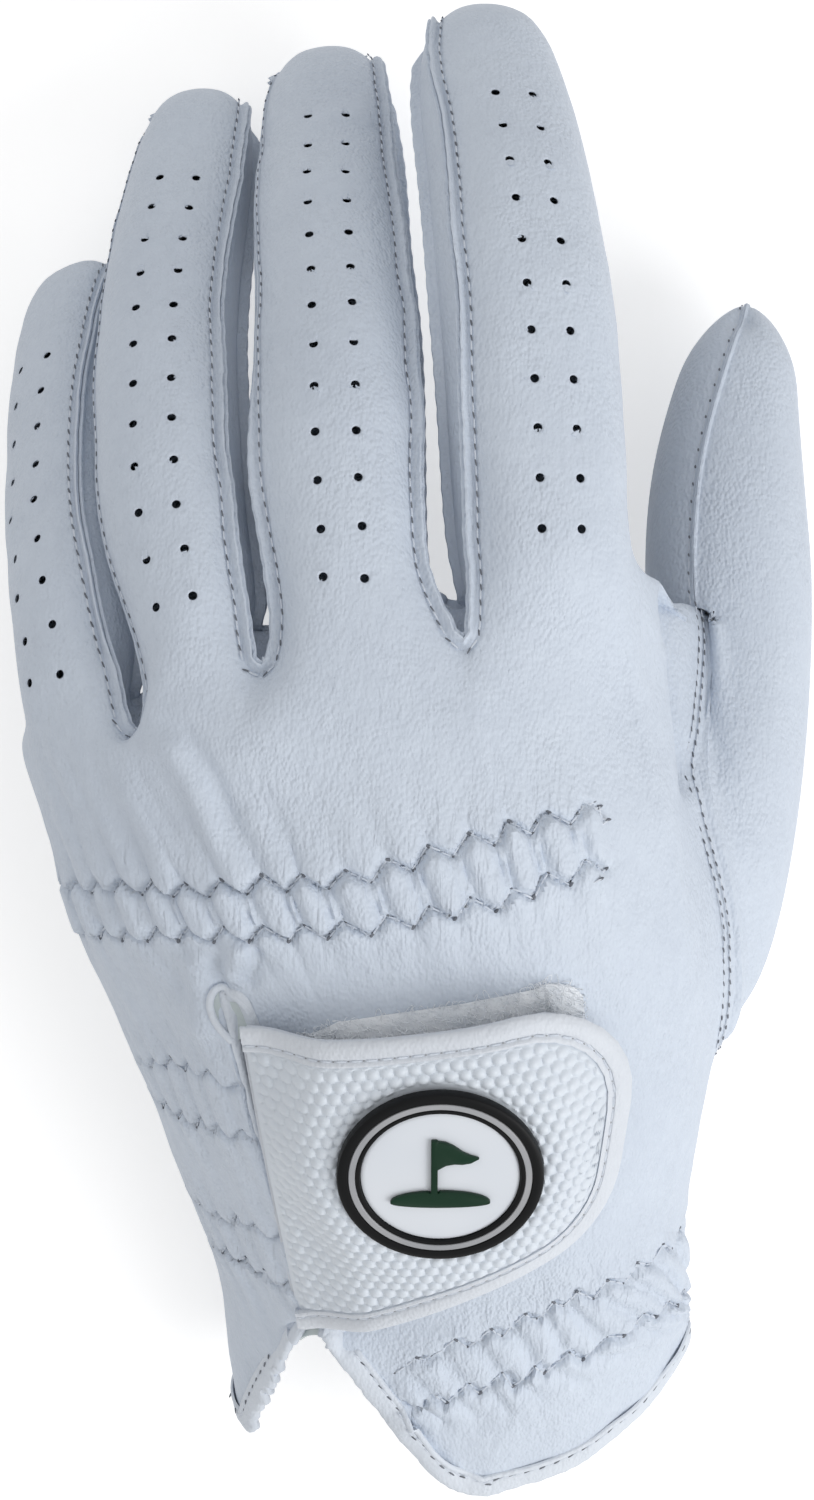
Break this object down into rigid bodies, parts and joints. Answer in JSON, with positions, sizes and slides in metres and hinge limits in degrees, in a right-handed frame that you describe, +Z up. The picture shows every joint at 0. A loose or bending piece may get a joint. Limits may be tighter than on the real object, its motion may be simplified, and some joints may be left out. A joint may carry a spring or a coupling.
{
  "type": "golf glove",
  "caption": "Left-hand leather golf glove in a worn shape, with elasticated knuckles and cuff, and a hinged wrist tab with a touch fastener and a round badge.",
  "frame": {"origin": "centre of the bottom of the bounding box, where the glove lies palm down", "axes": "+X across the hand towards the thumb, +Y along the hand towards the fingertips, +Z up, out of the back of the hand"},
  "size_m": [0.1108, 0.2048, 0.072],
  "materials": {
    "back_panel": "soft white glove leather, fine grain, low sheen",
    "palm_panel": "soft white glove leather, fine grain, low sheen",
    "thumb_outer_panel": "soft white glove leather, fine grain, low sheen",
    "thumb_inner_panel": "soft white glove leather, fine grain, low sheen",
    "thumb_quirk": "soft white glove leather, fine grain, low sheen",
    "little_ring_fourchette": "soft white glove leather, fine grain, low sheen",
    "ring_middle_fourchette": "soft white glove leather, fine grain, low sheen",
    "middle_index_fourchette": "soft white glove leather, fine grain, low sheen",
    "knuckle_elastic": "white woven elastic tape, sewn under the leather",
    "outer_wrist_elastic_upper": "white woven elastic tape, sewn under the leather",
    "outer_wrist_elastic_lower": "white woven elastic tape, sewn under the leather",
    "thumb_side_elastic_upper": "white woven elastic tape, sewn under the leather",
    "thumb_side_elastic_lower": "white woven elastic tape, sewn under the leather",
    "slit_binding": "soft white glove leather, fine grain, low sheen",
    "cuff_binding": "soft white glove leather, fine grain, low sheen",
    "loop_patch": "white looped pile of the touch fastener",
    "hook_patch": "white hooked half of the touch fastener",
    "tab_lining": "white leather under the tab",
    "tab_cover": "warm white moulded cover with small round bumps",
    "tab_border": "soft white glove leather, fine grain, low sheen",
    "badge_body": "black moulded badge, satin",
    "badge_bright_ring": "bright inset ring",
    "badge_disc": "white recessed disc, satin",
    "badge_emblem": "dark green raised flag"
  },
  "bodies": {
    "glove": {"back_panel": "back_panel", "palm_panel": "palm_panel", "thumb_outer_panel": "thumb_outer_panel", "thumb_inner_panel": "thumb_inner_panel", "thumb_quirk": "thumb_quirk", "little_ring_fourchette": "little_ring_fourchette", "ring_middle_fourchette": "ring_middle_fourchette", "middle_index_fourchette": "middle_index_fourchette", "knuckle_elastic": "knuckle_elastic", "outer_wrist_elastic_upper": "outer_wrist_elastic_upper", "outer_wrist_elastic_lower": "outer_wrist_elastic_lower", "thumb_side_elastic_upper": "thumb_side_elastic_upper", "thumb_side_elastic_lower": "thumb_side_elastic_lower", "slit_binding": "slit_binding", "cuff_binding": "cuff_binding", "loop_patch": "loop_patch"},
    "tab": {"hook_patch": "hook_patch", "tab_lining": "tab_lining", "tab_cover": "tab_cover", "tab_border": "tab_border", "badge_body": "badge_body", "badge_bright_ring": "badge_bright_ring", "badge_disc": "badge_disc", "badge_emblem": "badge_emblem"}
  },
  "joints": [
    {"name": "tab_hinge", "type": "hinge", "parent": "glove", "child": "tab", "pos_m": [-0.01879, -0.05475, 0.04964], "axis": [0.1298, -0.8481, -0.5136], "range_deg": [0, 140]}
  ]
}
